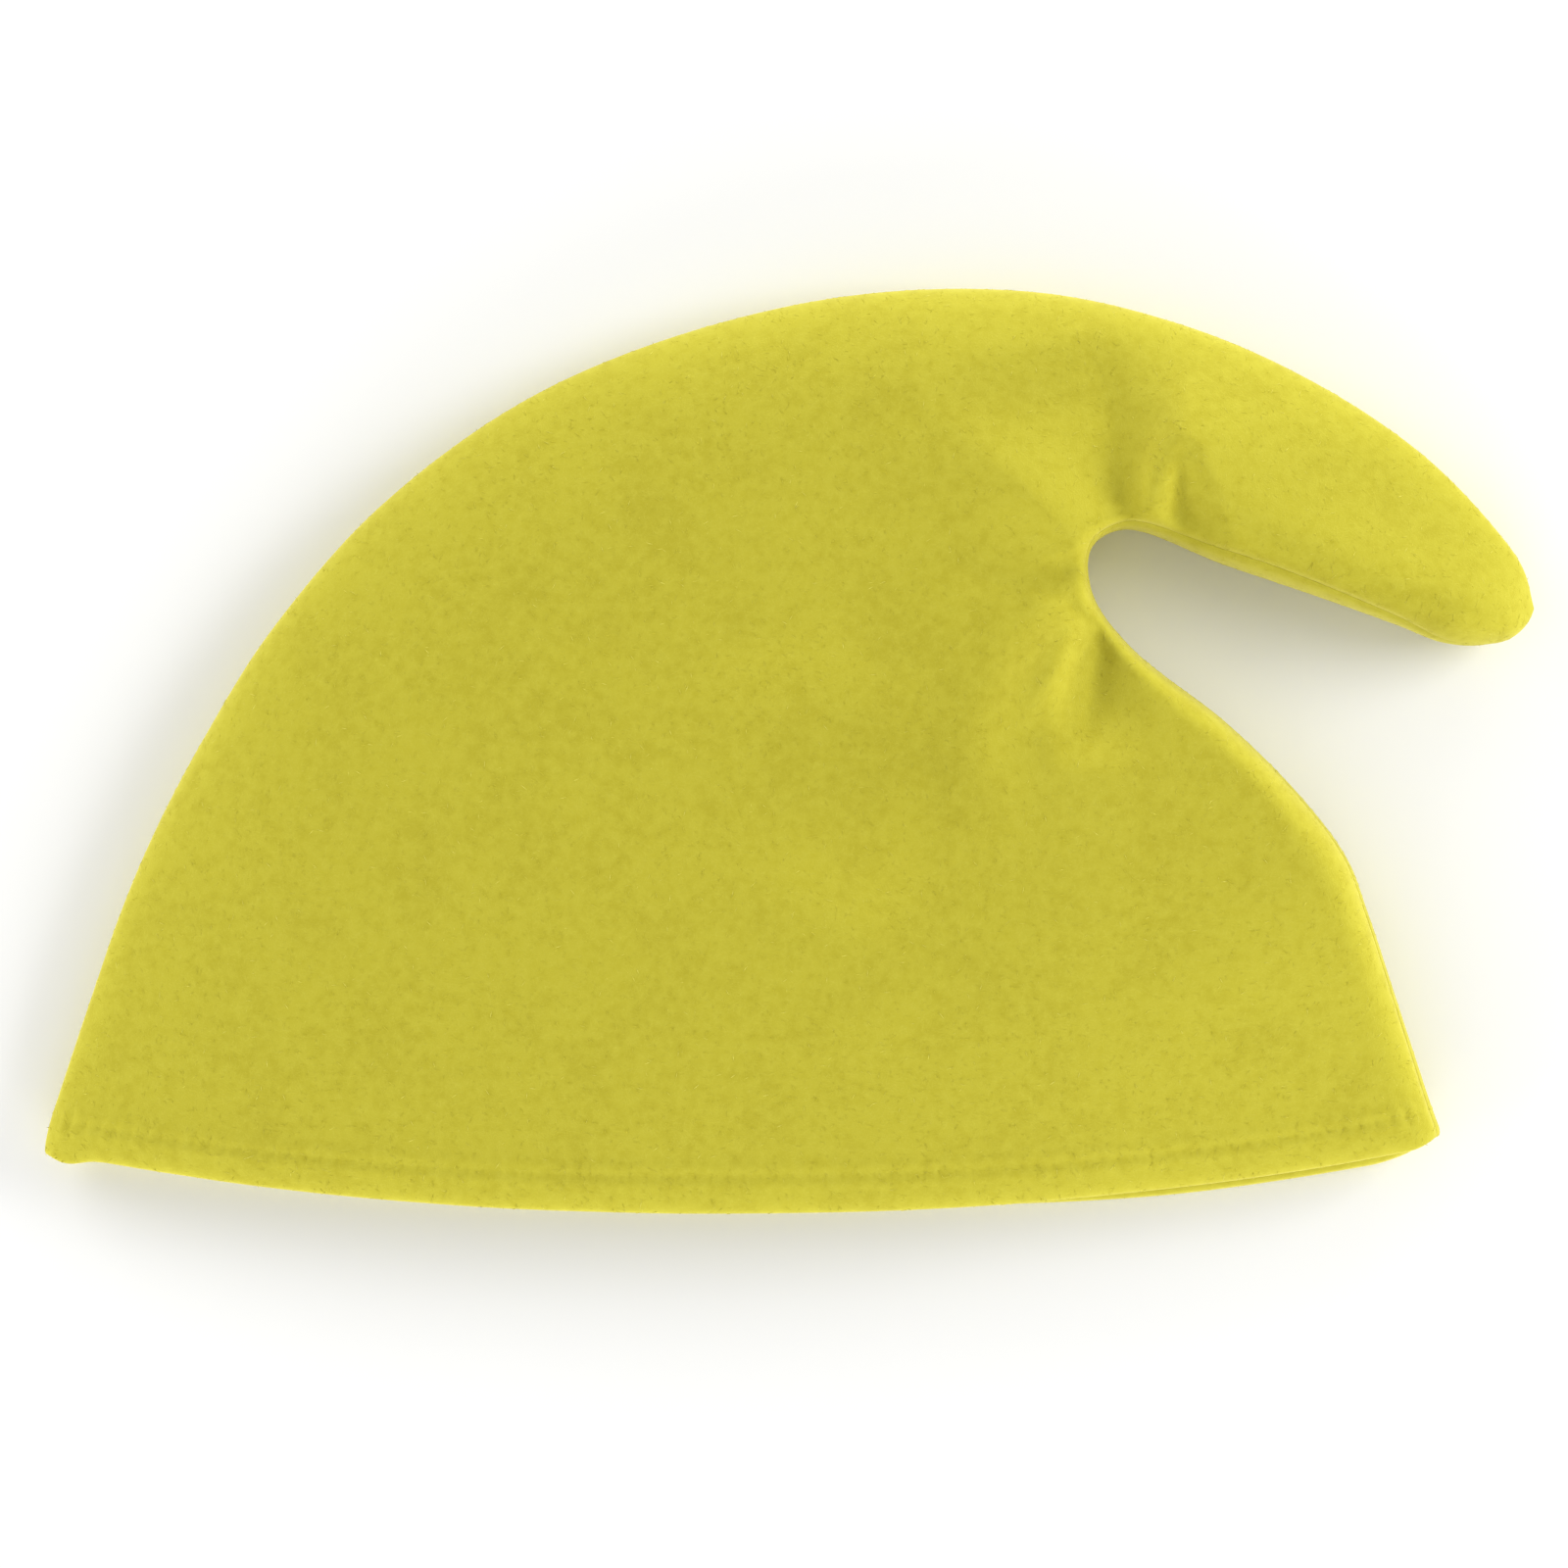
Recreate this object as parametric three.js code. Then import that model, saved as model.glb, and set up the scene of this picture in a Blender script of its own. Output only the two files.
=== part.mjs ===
// A felt gnome hat lying on its side: two panels of thick felt, sewn together round the crown and the curled
// tip, turned right side out, and hemmed at the rim. Millimetres, +Z up, and the floor is z = 0.
// +X points from the back of the head to the curled tip, and +Y from the rim to the crown.
// The origin is on the floor, under the middle of the hat's box.

import * as THREE from "three";

// Felt and sewing.
const FELT = 2.5; // thickness of one layer
const SEAM_GAP = 0.4; // left between the two panels where they are sewn
const HEM_DEPTH = 10; // felt that is turned up inside the rim
const HEM_EASE = 1.5; // distance over which the turned-up layer ends
const RIM_FOLD = 2; // how far the folded rim reaches past the last full section
const HEM_CLEAR = [5, 14]; // distances from the seam between which the turned-up layer thickens

// How the panels puff out from the seam.
const UPPER_ROLL = 24; // distance in from the seam over which the upper panel rounds up
const LOWER_ROLL = 15; // distance in from the seam over which the lower panel rounds down to the floor
const ROLL_SHARE = 0.46; // most of a section's width that one roll may take
const SHOULDER = 0.66; // share of the upper panel's rise that its roll gives, and a dome the rest
const TIP_SPANS = 1.2; // sections over which the tip closes
const BOW_POWER = 2.3; // how square the ends of a bowed section are, where 2 is a parabola

// One row for each section of the hat, from the rim to the tip. back and front are the ends of the section on
// the outline, [x, y]. bow is how far the section's middle curves towards the rim, or, below zero, towards the
// tip. seam and crest are heights above the floor. wrap is how far the lower panel comes round the front edge
// before it meets the seam.
const SECTIONS = [
  { back: [-155.6, -83.4], front: [136.6, -82.0], bow: 12.6, seam: 6.5, crest: 21, wrap: 1 },
  { back: [-145.2, -51.6], front: [126.2, -51.6], bow: 9, seam: 7, crest: 25, wrap: 1 },
  { back: [-138.2, -31.6], front: [120.0, -33.2], bow: 7.5, seam: 7, crest: 27, wrap: 1 },
  { back: [-131.0, -15.0], front: [115.8, -21.8], bow: 6, seam: 7, crest: 28, wrap: 1 },
  { back: [-120.8, 3.4], front: [106.0, -8.6], bow: 4.5, seam: 7, crest: 29, wrap: 1 },
  { back: [-107.0, 25.0], front: [91.0, 6.2], bow: 3, seam: 7, crest: 29, wrap: 1.4 },
  { back: [-82.8, 52.2], front: [71.2, 21.8], bow: 1, seam: 7.5, crest: 28, wrap: 2.2 },
  { back: [-47.0, 76.6], front: [63.2, 32.8], bow: 0, seam: 8, crest: 26, wrap: 2.6 },
  { back: [5.2, 93.4], front: [63.8, 41.0], bow: 0, seam: 8, crest: 25, wrap: 2.8 },
  { back: [50.2, 95.4], front: [70.4, 44.6], bow: 0, seam: 8, crest: 24, wrap: 3 },
  { back: [82.6, 88.0], front: [90.8, 38.4], bow: 0, seam: 8.5, crest: 24, wrap: 3.4 },
  { back: [108.8, 76.6], front: [110.2, 32.0], bow: 0, seam: 8.5, crest: 23, wrap: 3.2 },
  { back: [131.2, 62.0], front: [126.4, 26.2], bow: 0, seam: 8.5, crest: 21, wrap: 2.4 },
  { back: [145.8, 47.6], front: [135.4, 22.6], bow: -1.2, seam: 8.5, crest: 19, wrap: 1.2 },
  { back: [154.6, 33.2], front: [141.4, 22.0], bow: -5.2, seam: 8.5, crest: 17, wrap: 0.8 },
];

// One row for each fold of the upper panel, all starting near the notch under the tip: its two ends [x, y], its
// half width to the left and to the right as seen from its first end, and its depth below the puffed surface.
const FOLDS = [
  { from: [69, 46], to: [71, 90], left: 4, right: 10, depth: 7.5 },
  { from: [81, 41], to: [84, 68], left: 3, right: 8, depth: 5 },
  { from: [60, 38], to: [14, -8], left: 10, right: 11, depth: 5 },
  { from: [66, 27], to: [66, -24], left: 12, right: 5, depth: 6 },
  { from: [102, -10], to: [98, -54], left: 12, right: 12, depth: 2 },
];

// The lower panel's rim reaches past the upper one's towards the front corner.
const LOWER_RIM_PAST = 1.8;
const LOWER_RIM_FROM = [20, 90]; // between these x the reach grows

// How finely the skin is divided.
const ROWS_PER_SECTION = 3;
const TIP_ROWS = 6;
const UPPER_COLUMNS = 26;
const WRAP_COLUMNS = 2;
const LOWER_COLUMNS = 18;
const OUTLINE_STEPS = 120;

const YELLOW_FELT = new THREE.MeshStandardMaterial({ color: 0xc6bd38, roughness: 0.95, metalness: 0 });

const lerp = THREE.MathUtils.lerp;
const ease = (value, [low, high]) => THREE.MathUtils.smoothstep(value, low, high);

// The spans between the sections, the seam's two edges as smooth curves in plan, and the other columns read between the rows.
const spans = SECTIONS.length - 1;
const edgeCurve = (column) =>
  new THREE.CatmullRomCurve3(SECTIONS.map((row) => new THREE.Vector3(...row[column], 0)));
const backEdge = edgeCurve("back");
const frontEdge = edgeCurve("front");

function between(column, t) {
  const place = t * spans;
  const row = Math.min(Math.floor(place), spans - 1);
  return lerp(SECTIONS[row][column], SECTIONS[row + 1][column], place - row);
}

// The point of the plan at section t, and at share v of the way from the back edge to the front edge.
function planPoint(t, v) {
  const point = backEdge.getPoint(t);
  const across = frontEdge.getPoint(t).sub(point);
  const sideways = new THREE.Vector3(across.y, -across.x, 0).normalize();
  const bow = between("bow", t) * (1 - Math.abs(2 * v - 1) ** BOW_POWER);
  return point.addScaledVector(across, v).addScaledVector(sideways, bow);
}

const sectionWidth = (t) => backEdge.getPoint(t).distanceTo(frontEdge.getPoint(t));

// The sewn outline in three lines: up the back edge, round the end of the tip, and down the front edge.
const steps = [...Array(OUTLINE_STEPS + 1).keys()].map((step) => step / OUTLINE_STEPS);
const backLine = steps.map((t) => planPoint(t, 0));
const tipLine = steps.map((v) => planPoint(1, v));
const frontLine = steps.map((t) => planPoint(1 - t, 1));

// The nearest place on a line of the outline: how far it is from a point, and which way is outward there.
function nearestOn(line, point) {
  const near = new THREE.Vector3();
  const plan = point.clone().setZ(0);
  let best = { distance: Infinity };
  for (let i = 0; i + 1 < line.length; i++) {
    const edge = new THREE.Line3(line[i], line[i + 1]);
    const distance = edge.closestPointToPoint(plan, true, near).distanceTo(plan);
    if (distance >= best.distance) continue;
    const along = edge.delta(new THREE.Vector3());
    best = { distance, outward: new THREE.Vector3(-along.y, along.x, 0).normalize() };
  }
  return best;
}

const distanceToSeam = (point) => Math.min(...[backLine, frontLine].map((line) => nearestOn(line, point).distance));

// A quarter ellipse: 0 at the seam, upright there, and level at 1.
const roll = (share) => Math.sqrt(1 - (1 - Math.min(share, 1)) ** 2);

function foldDepth(point) {
  let depth = 0;
  for (const fold of FOLDS) {
    const from = new THREE.Vector3(...fold.from, 0);
    const along = new THREE.Vector3(...fold.to, 0).sub(from);
    const offset = point.clone().sub(from);
    const share = THREE.MathUtils.clamp(offset.dot(along) / along.lengthSq(), 0, 1);
    const side = along.clone().cross(offset).z > 0 ? fold.left : fold.right;
    const across = offset.addScaledVector(along, -share).setZ(0).length() / side;
    depth += fold.depth * (1 - share) * Math.exp(-across * across);
  }
  return depth;
}

// How far the skin has rolled away from the seam at a point of section t: 0 on the seam, and 1 past the roll's reach.
function rolledAway(t, point, reach) {
  const sides = roll(distanceToSeam(point) / Math.min(reach, ROLL_SHARE * sectionWidth(t)));
  return sides * roll(((1 - t) * spans) / TIP_SPANS);
}

// Heights of the skin above the floor, over the upper panel and under the lower one.
function topHeight(t, v, point) {
  const seam = between("seam", t);
  const domed = lerp(SHOULDER, 1, 4 * v * (1 - v));
  const rise = (between("crest", t) - seam) * domed - foldDepth(point);
  return seam + rise * rolledAway(t, point, UPPER_ROLL);
}

function underHeight(t, point) {
  return between("seam", t) * (1 - rolledAway(t, point, LOWER_ROLL));
}

// Shares of the way across a section, closer together towards both ends.
const spread = (count) => [...Array(count + 1).keys()].map((k) => (1 - Math.cos((Math.PI * k) / count)) / 2);

// One closed ring of skin points round section t: over the top from the back edge to the seam, on round the front
// edge, and back underneath.
function ring(t) {
  const seamShare = 1 - between("wrap", t) / sectionWidth(t);
  const overTop = spread(UPPER_COLUMNS).map((share) => share * seamShare);
  for (let k = 1; k < WRAP_COLUMNS; k++) overTop.push(lerp(seamShare, 1, k / WRAP_COLUMNS));
  const underneath = spread(LOWER_COLUMNS).reverse().slice(0, -1);
  const top = overTop.map((v) => {
    const point = planPoint(t, v);
    return point.setZ(topHeight(t, v, point));
  });
  const under = underneath.map((v) => {
    const point = planPoint(t, v);
    point.z = underHeight(t, point);
    const past = LOWER_RIM_PAST * ease(point.x, LOWER_RIM_FROM) * Math.max(0, 1 - t * spans);
    point.y -= past * ease(distanceToSeam(point), [0, LOWER_ROLL]);
    return point;
  });
  return [...top, ...under];
}

// Where the skin is divided into rings: at the rim's end and the hem's inner edge, then evenly, and closer together
// towards the end of the tip.
const rimSpan = backEdge.getPoint(0).distanceTo(backEdge.getPoint(1 / spans));
const hemRows = [RIM_FOLD, HEM_DEPTH / 2, HEM_DEPTH, HEM_DEPTH + HEM_EASE].map((height) => height / rimSpan / spans);
const evenRows = [...Array(ROWS_PER_SECTION * (spans - 1)).keys()].map((row) => row / ROWS_PER_SECTION / spans);
const tipRows = [...Array(TIP_ROWS + 1).keys()].map((row) => 1 - (1 - row / TIP_ROWS) ** 2 / spans);
const rowShares = [...hemRows, ...evenRows.filter((t) => t > hemRows.at(-1) * 1.2), ...tipRows];
const skin = rowShares.map(ring);
const rimLine = ring(0);

// The direction along a ring at one of its points, and the skin's outward normal there. At the tip, where both
// panels end in one line, the normal is level.
const lastSkinRow = skin.length - 1;

function ringDirection(row, column) {
  const points = skin[row];
  const before = points[(column + points.length - 1) % points.length];
  return points[(column + 1) % points.length].clone().sub(before).normalize();
}

function skinNormal(row, column) {
  const next = skin[Math.min(row + 1, lastSkinRow)][column];
  const along = next.clone().sub(skin[Math.max(row - 1, 0)][column]);
  if (row === lastSkinRow) return nearestOn(tipLine, next).outward;
  return ringDirection(row, column).cross(along).normalize();
}

// How thick the wall is: one layer, or two where the hem is turned up.
function wallAt(row, point) {
  const hem = row < hemRows.length - 1 ? 1 : 0;
  return FELT * (1 + hem * ease(distanceToSeam(point), HEM_CLEAR));
}

// A closed wall from the outer skin to the inner one, with the folded rim between their first rows.
function wallGeometry(outer, inner, rim) {
  const sheet = [...[...outer].reverse(), rim, ...inner];
  const columns = rim.length;
  const at = (row, column) => row * columns + column;
  const lastSheetRow = sheet.length - 1;
  const faces = [];
  const quad = (a, b, c, d) => faces.push(a, c, b, a, d, c);
  for (let row = 0; row < lastSheetRow; row++)
    for (let column = 0; column + 1 < columns; column++)
      quad(at(row, column), at(row, column + 1), at(row + 1, column + 1), at(row + 1, column));
  for (let column = 0; column + 1 < columns; column++)
    quad(at(lastSheetRow, column), at(lastSheetRow, column + 1), at(0, column + 1), at(0, column));
  const rimRow = outer.length;
  for (const [column, turned] of [[0, false], [columns - 1, true]]) {
    const side = [];
    for (let k = 1; k < rimRow; k++)
      side.push([rimRow - k - 1, rimRow + k + 1, rimRow + k], [rimRow - k - 1, rimRow + k, rimRow - k]);
    side.push([rimRow - 1, rimRow + 1, rimRow]);
    for (const rows of side) {
      const corners = rows.map((row) => at(row, column));
      faces.push(...(turned ? corners.reverse() : corners));
    }
  }
  const geometry = new THREE.BufferGeometry().setFromPoints(sheet.flat());
  geometry.setIndex(faces);
  geometry.computeVertexNormals();
  return geometry;
}

// One panel: the skin's columns from first to last, with its wall inside it, drawn back from the seam so that the
// two panels don't touch. away is the way it is drawn back at the tip, up or down.
function panel(name, first, last, away) {
  const count = skin[0].length;
  const columns = [...Array(last - first + 1).keys()].map((k) => (first + k) % count);
  const end = columns.length - 1;
  const drawnBack = (point, row, k) => {
    if (row === lastSkinRow) point.z += (away * SEAM_GAP) / 2;
    else if (k === 0) point.addScaledVector(ringDirection(row, columns[k]), SEAM_GAP / 2);
    else if (k === end) point.addScaledVector(ringDirection(row, columns[k]), -SEAM_GAP / 2);
    return point;
  };
  const outer = skin.map((points, row) => columns.map((column, k) => drawnBack(points[column].clone(), row, k)));
  const inner = outer.map((points, row) =>
    points.map((point, k) => {
      const wall = wallAt(row, skin[row][columns[k]]);
      const inside = point.clone().addScaledVector(skinNormal(row, columns[k]), -wall);
      const past = (between("seam", rowShares[row]) - inside.z) * away + SEAM_GAP / 2;
      const wraps = away < 0 && k <= WRAP_COLUMNS && rowShares[row] < 1 - 1 / spans;
      if (!wraps) inside.z += Math.max(past, 0) * away;
      return inside;
    }),
  );
  const rim = columns.map((column, k) => {
    const past = rimLine[column].clone().sub(skin[0][column]);
    return outer[0][k].clone().lerp(inner[0][k], 0.5).add(past);
  });
  const mesh = new THREE.Mesh(wallGeometry(outer, inner, rim), YELLOW_FELT);
  mesh.name = name;
  return mesh;
}

const hat = new THREE.Group();
hat.add(panel("upper_panel", 0, UPPER_COLUMNS, 1));
hat.add(panel("lower_panel", UPPER_COLUMNS, skin[0].length, -1));

// The origin, on the floor under the middle of the box.
const box = new THREE.Box3().setFromObject(hat, true);
const middle = box.getCenter(new THREE.Vector3());
hat.position.set(-middle.x, -middle.y, -box.min.z);

export default hat;
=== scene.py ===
# %% [markdown]
# # A felt gnome hat lying on its side
# The hat is two matching panels of thick yellow felt. They are sewn together along the curved edge, turned
# right side out, and hemmed at the rim with one row of topstitching. The hat lies flat: one panel rests on
# the floor, and the other puffs up over it, pulled into folds round the notch under the curled tip.
# This lesson builds each panel as a real shell with an inside, gives the felt its colour, lays the nap and
# sews the hem with Geometry Nodes, and ends with the light and the camera.

# %% Load the measured frame
import math

import bpy
import numpy as np
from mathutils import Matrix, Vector


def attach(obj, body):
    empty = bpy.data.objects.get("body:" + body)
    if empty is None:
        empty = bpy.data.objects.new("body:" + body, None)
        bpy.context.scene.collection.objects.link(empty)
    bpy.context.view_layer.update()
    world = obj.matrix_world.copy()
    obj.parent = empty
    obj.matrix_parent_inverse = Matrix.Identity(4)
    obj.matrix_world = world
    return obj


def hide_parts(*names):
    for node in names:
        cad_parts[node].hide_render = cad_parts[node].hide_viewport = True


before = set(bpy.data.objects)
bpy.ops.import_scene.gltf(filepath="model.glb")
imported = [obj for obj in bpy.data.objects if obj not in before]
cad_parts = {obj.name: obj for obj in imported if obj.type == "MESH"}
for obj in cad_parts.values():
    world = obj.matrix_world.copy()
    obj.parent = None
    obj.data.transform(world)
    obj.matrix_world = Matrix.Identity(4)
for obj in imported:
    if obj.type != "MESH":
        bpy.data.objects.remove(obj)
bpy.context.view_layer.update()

MM = 0.001

# %% [markdown]
# ## The cut of the hat
# A sewn hat has no straight lines to measure from, so it is described by sections: lines drawn across it
# from the back edge to the front edge, the first along the rim and the last across the end of the tip. Each
# row of the table is one section. A smooth line through the rows gives the two edges, as a dressmaker's
# curve does on paper.

# %% One row for each section, from the rim to the tip
# back x, back y, front x, front y, bow towards the rim, seam height, crest height, wrap of the lower panel,
# and the reach of the rolls at the back edge and the front edge, all in mm
SECTIONS = np.array([
    (-155.6, -82.6, 136.2, -81.6, 13.5, 6.5, 21.0, 0.6, 32, 22),
    (-145.2, -51.6, 126.2, -51.6, 9.0, 7.0, 25.0, 0.6, 38, 15),
    (-138.2, -31.6, 120.0, -33.2, 7.5, 7.0, 26.5, 0.6, 40, 12),
    (-131.0, -15.0, 115.6, -22.0, 6.0, 7.0, 27.0, 0.6, 40, 11),
    (-121.1, 3.6, 105.7, -8.9, 4.5, 7.0, 27.5, 0.6, 38, 10),
    (-107.4, 25.4, 90.7, 5.9, 3.0, 7.0, 27.5, 0.5, 36, 9),
    (-83.1, 52.6, 70.9, 21.6, 1.0, 7.5, 27.0, 0.4, 34, 8),
    (-47.2, 77.0, 63.0, 32.8, 0.0, 8.0, 25.5, 0.4, 30, 7),
    (5.2, 93.6, 63.0, 42.2, 0.0, 8.0, 25.0, 0.5, 22, 7),
    (50.2, 95.6, 69.8, 46.0, 0.0, 8.0, 25.0, 0.8, 20, 7),
    (82.8, 88.4, 90.8, 38.6, 0.0, 8.5, 24.5, 2.8, 22, 7),
    (109.1, 76.9, 110.2, 32.0, 0.0, 8.5, 23.0, 2.0, 24, 7.5),
    (131.4, 62.2, 126.4, 26.2, 0.0, 8.5, 21.0, 0.9, 22, 9),
    (145.9, 47.7, 135.4, 22.7, -0.6, 8.5, 19.5, 0.3, 17, 11),
    (152.6, 38.2, 141.6, 21.9, -1.4, 8.5, 18.0, 0.3, 14, 12),
    (154.9, 29.6, 146.9, 22.4, -1.6, 8.5, 17.0, 0.3, 12, 12),
]) * MM
BACK = SECTIONS[:, 0:2]
FRONT = SECTIONS[:, 2:4]
BOW, SEAM, CREST, WRAP, BACK_ROLL, FRONT_ROLL = SECTIONS[:, 4:].T

# for the same sections: the share of the rise that the rolls at the back and at the front give, and how far
# across the dome is highest
DOMES = np.array([
    (0.62, 0.62, 0.58), (0.62, 0.80, 0.64), (0.64, 0.93, 0.72), (0.66, 0.96, 0.75),
    (0.66, 0.96, 0.77), (0.66, 0.96, 0.79), (0.66, 0.96, 0.80), (0.66, 0.94, 0.80),
    (0.66, 0.90, 0.78), (0.68, 0.80, 0.74), (0.72, 0.72, 0.78), (0.72, 0.72, 0.82),
    (0.70, 0.70, 0.82), (0.66, 0.66, 0.74), (0.63, 0.63, 0.64), (0.62, 0.62, 0.58),
])
BACK_SHOULDER, FRONT_SHOULDER, PEAK = DOMES.T
SPANS = len(SECTIONS) - 1
# how squarely a bow leaves the two edges
BOW_POWER = 2.2
print("sections:", len(SECTIONS), "across", round(np.linalg.norm(FRONT[0] - BACK[0]) / MM), "mm of rim")


# %% Smooth lines through the rows
# half a row to each side, over which a column is averaged
EASE_SHIFTS = np.linspace(-0.5, 0.5, 11)
EDGE_STEPS = 600


def smooth_line(points, u):
    """Places on the smooth line through some points, at u spans from the first one."""
    ends = 2 * points[0] - points[1], 2 * points[-1] - points[-2]
    chain = np.vstack([ends[0], points, ends[1]])
    span = np.clip(np.floor(u).astype(int), 0, len(points) - 2)
    a, b, c, d = (chain[span + k] for k in range(4))
    ab, bc, cd = (np.sqrt(np.linalg.norm(q - p, axis=-1, keepdims=True)) for p, q in ((a, b), (b, c), (c, d)))
    leaving = ((b - a) / ab - (c - a) / (ab + bc) + (c - b) / bc) * bc
    arriving = ((c - b) / bc - (d - b) / (bc + cd) + (d - c) / cd) * bc
    w = (u - span)[..., None]
    cubic = 2 * b - 2 * c + leaving + arriving
    square = -3 * b + 3 * c - 2 * leaving - arriving
    return ((cubic * w + square) * w + leaving) * w + b


def eased(column, u):
    """A column of the table read between its rows, rounded off where they meet."""
    rows = np.arange(-1, len(column) + 1)
    longer = np.concatenate([[2 * column[0] - column[1]], column, [2 * column[-1] - column[-2]]])
    return np.mean([np.interp(u + shift, rows, longer) for shift in EASE_SHIFTS], axis=0)


def ramp(value, low, high):
    """0 below low, 1 above high, and a smooth rise between them."""
    share = np.clip((value - low) / (high - low), 0, 1)
    return share * share * (3 - 2 * share)


BACK_LINE, FRONT_LINE = (smooth_line(edge, np.linspace(0, SPANS, EDGE_STEPS)) for edge in (BACK, FRONT))
for name, line in (("back", BACK_LINE), ("front", FRONT_LINE)):
    print(name, "edge:", round(np.linalg.norm(np.diff(line, axis=0), axis=1).sum() / MM), "mm long")


# %% [markdown]
# ## How the felt puffs up and folds
# Felt is stiff, so it leaves the seam in a round roll and then rises in a shallow dome. A cloth simulation
# could puff it up too. A rule is used here instead, because it puts each fold where this hat has it: a roll
# at the edges, squarer at the front than at the back, a dome between them, and one row of a table for each
# fold. Inside the notch the felt is pushed together, which gives valleys with a sharp bottom and rounded
# shoulders, and ridges between them.

# %% Rolls and folds, in metres
# reach of the lower panel's roll, and the most of a section's width that a roll may take
LOWER_ROLL = 15 * MM
ROLL_SHARE = 0.46
BACK_ROLL_SHARE = 0.62
# how square a roll is: at the back and underneath, and at the front
ROUND_POWER = 2
FRONT_POWER = 3.5
# the folds keep only this share of their depth at the front edge, and all of it past the ring
FRONT_RING = 6 * MM
RING_SHARE = 0.3
# spans over which the tip closes, and the lift of the underside off the floor
TIP_SPANS = 2.1
UNDER_LIFT = 0.2 * MM
# how far the lower panel shows past the upper one at the rim, and where along it that begins and ends
LOWER_RIM_PAST = 1.8 * MM
LOWER_RIM_FROM = (20 * MM, 90 * MM)
LOWER_RIM_TO = (130 * MM, 136 * MM)

# from x, from y, to x, to y, width of the flanks to the left and right of that way, depth at the first end,
# depth that it grows towards before it fades out at the last end, rounding of the bottom. A valley has
# positive depths, and a ridge negative ones.
FOLDS = np.array([
    (70.0, 46.0, 62.0, 88.0, 32.0, 18.0, 2.5, 33.0, 1.0),
    (74.5, 50.0, 80.5, 86.0, 16.0, 60.0, -1.5, -8.0, 2.0),
    (60.0, 44.0, 46.0, 80.0, 44.0, 24.0, -0.3, -2.5, 3.0),
    (80.0, 59.5, 82.4, 18.0, 14.0, 12.0, 1.8, 23.0, 1.0),
    (61.0, 39.5, 22.0, 8.0, 24.0, 60.0, 1.5, 11.0, 3.0),
    (46.0, 33.0, 14.0, -44.0, 26.0, 60.0, 0.0, 32.0, 5.0),
    (62.0, 27.0, 35.0, -7.0, 14.0, 32.0, -1.5, -19.0, 2.5),
    (63.5, 40.0, 48.0, 30.5, 9.0, 6.0, 4.0, 3.0, 0.8),
    (64.0, 25.0, 61.0, -6.0, 20.0, 20.0, 6.0, 15.0, 0.9),
    (97.0, 2.0, 113.0, -70.0, 16.0, 30.0, -0.6, -3.5, 6.0),
]) * MM
# the flanks start at this share of their width, and gain the whole of it along the fold
FLARE = 0.35
# 1 gives straight flanks, and more makes them steeper at the bottom and softer where they run out
FLANK_POWER = 1.5

# x, y, radius, height of the soft bumps and dents that lie away from the folds
BUMPS = np.array([
    (-107.0, -12.0, 11.0, 0.8),
    (-118.0, 6.0, 9.0, 0.4),
    (-60.0, 30.0, 26.0, 0.5),
    (10.0, -50.0, 30.0, -0.5),
    (-70.0, -45.0, 26.0, -0.6),
    (60.0, -65.0, 24.0, 0.4),
    (87.0, 5.0, 8.0, 1.0),
    (75.0, -100.0, 34.0, -2.0),
    (-10.0, 0.0, 40.0, -2.0),
]) * MM

# x, y, radius, drop of the rim's two corners
CORNERS = np.array([
    (-150.5, -84.0, 4.5, 1.7),
    (137.0, -81.6, 4.8, -2.2),
]) * MM

# how many low waves cross the felt, their shortest and longest length, and how steep each is
WAVES = 14
WAVE_LENGTHS = (22 * MM, 60 * MM)
WAVE_SLOPE = 0.006
WAVE_SEED = 11
print("folds:", len(FOLDS), "bumps and dents:", len(BUMPS), "waves:", WAVES)


# %% Rolls, folds and waves
def roll(share, power=ROUND_POWER):
    """A quarter round: upright at 0, level at 1. A power of 2 is an ellipse, and a higher one is squarer."""
    return (1 - (1 - np.clip(share, 0, 1)) ** power) ** (1 / power)


def distance_to(line, places):
    """How far each place is from a line of closely spaced points."""
    start, along = line[:-1], np.diff(line, axis=0)
    squared = (along ** 2).sum(axis=1)
    found = np.empty(places.shape[:2])
    for row, places_of_row in enumerate(places):
        offset = places_of_row[:, None] - start
        share = np.clip((offset * along).sum(axis=2) / squared, 0, 1)
        found[row] = np.linalg.norm(offset - share[..., None] * along, axis=2).min(axis=1)
    return found


def fold_depth(places):
    """How deep the folds press the felt at each place."""
    total = np.zeros(places.shape[:-1])
    for x0, y0, x1, y1, left, right, depth, last, rounding in FOLDS:
        start, along = np.array([x0, y0]), np.array([x1 - x0, y1 - y0])
        offset = places - start
        length = np.linalg.norm(along)
        way = along / length
        share = np.clip(offset @ way / length, 0, 1)
        across = offset @ np.array([-way[1], way[0]])
        past = np.linalg.norm(offset - share[..., None] * along, axis=-1)
        reach = np.where(across > 0, left, right) * (FLARE + share)
        slack = np.sqrt(past ** 2 + rounding ** 2) - rounding
        flank = np.clip(1 - slack / reach, 0, 1) ** FLANK_POWER
        total += (depth + (last - depth) * share) * flank * (1 - share ** 2) ** 2
    return total


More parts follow.
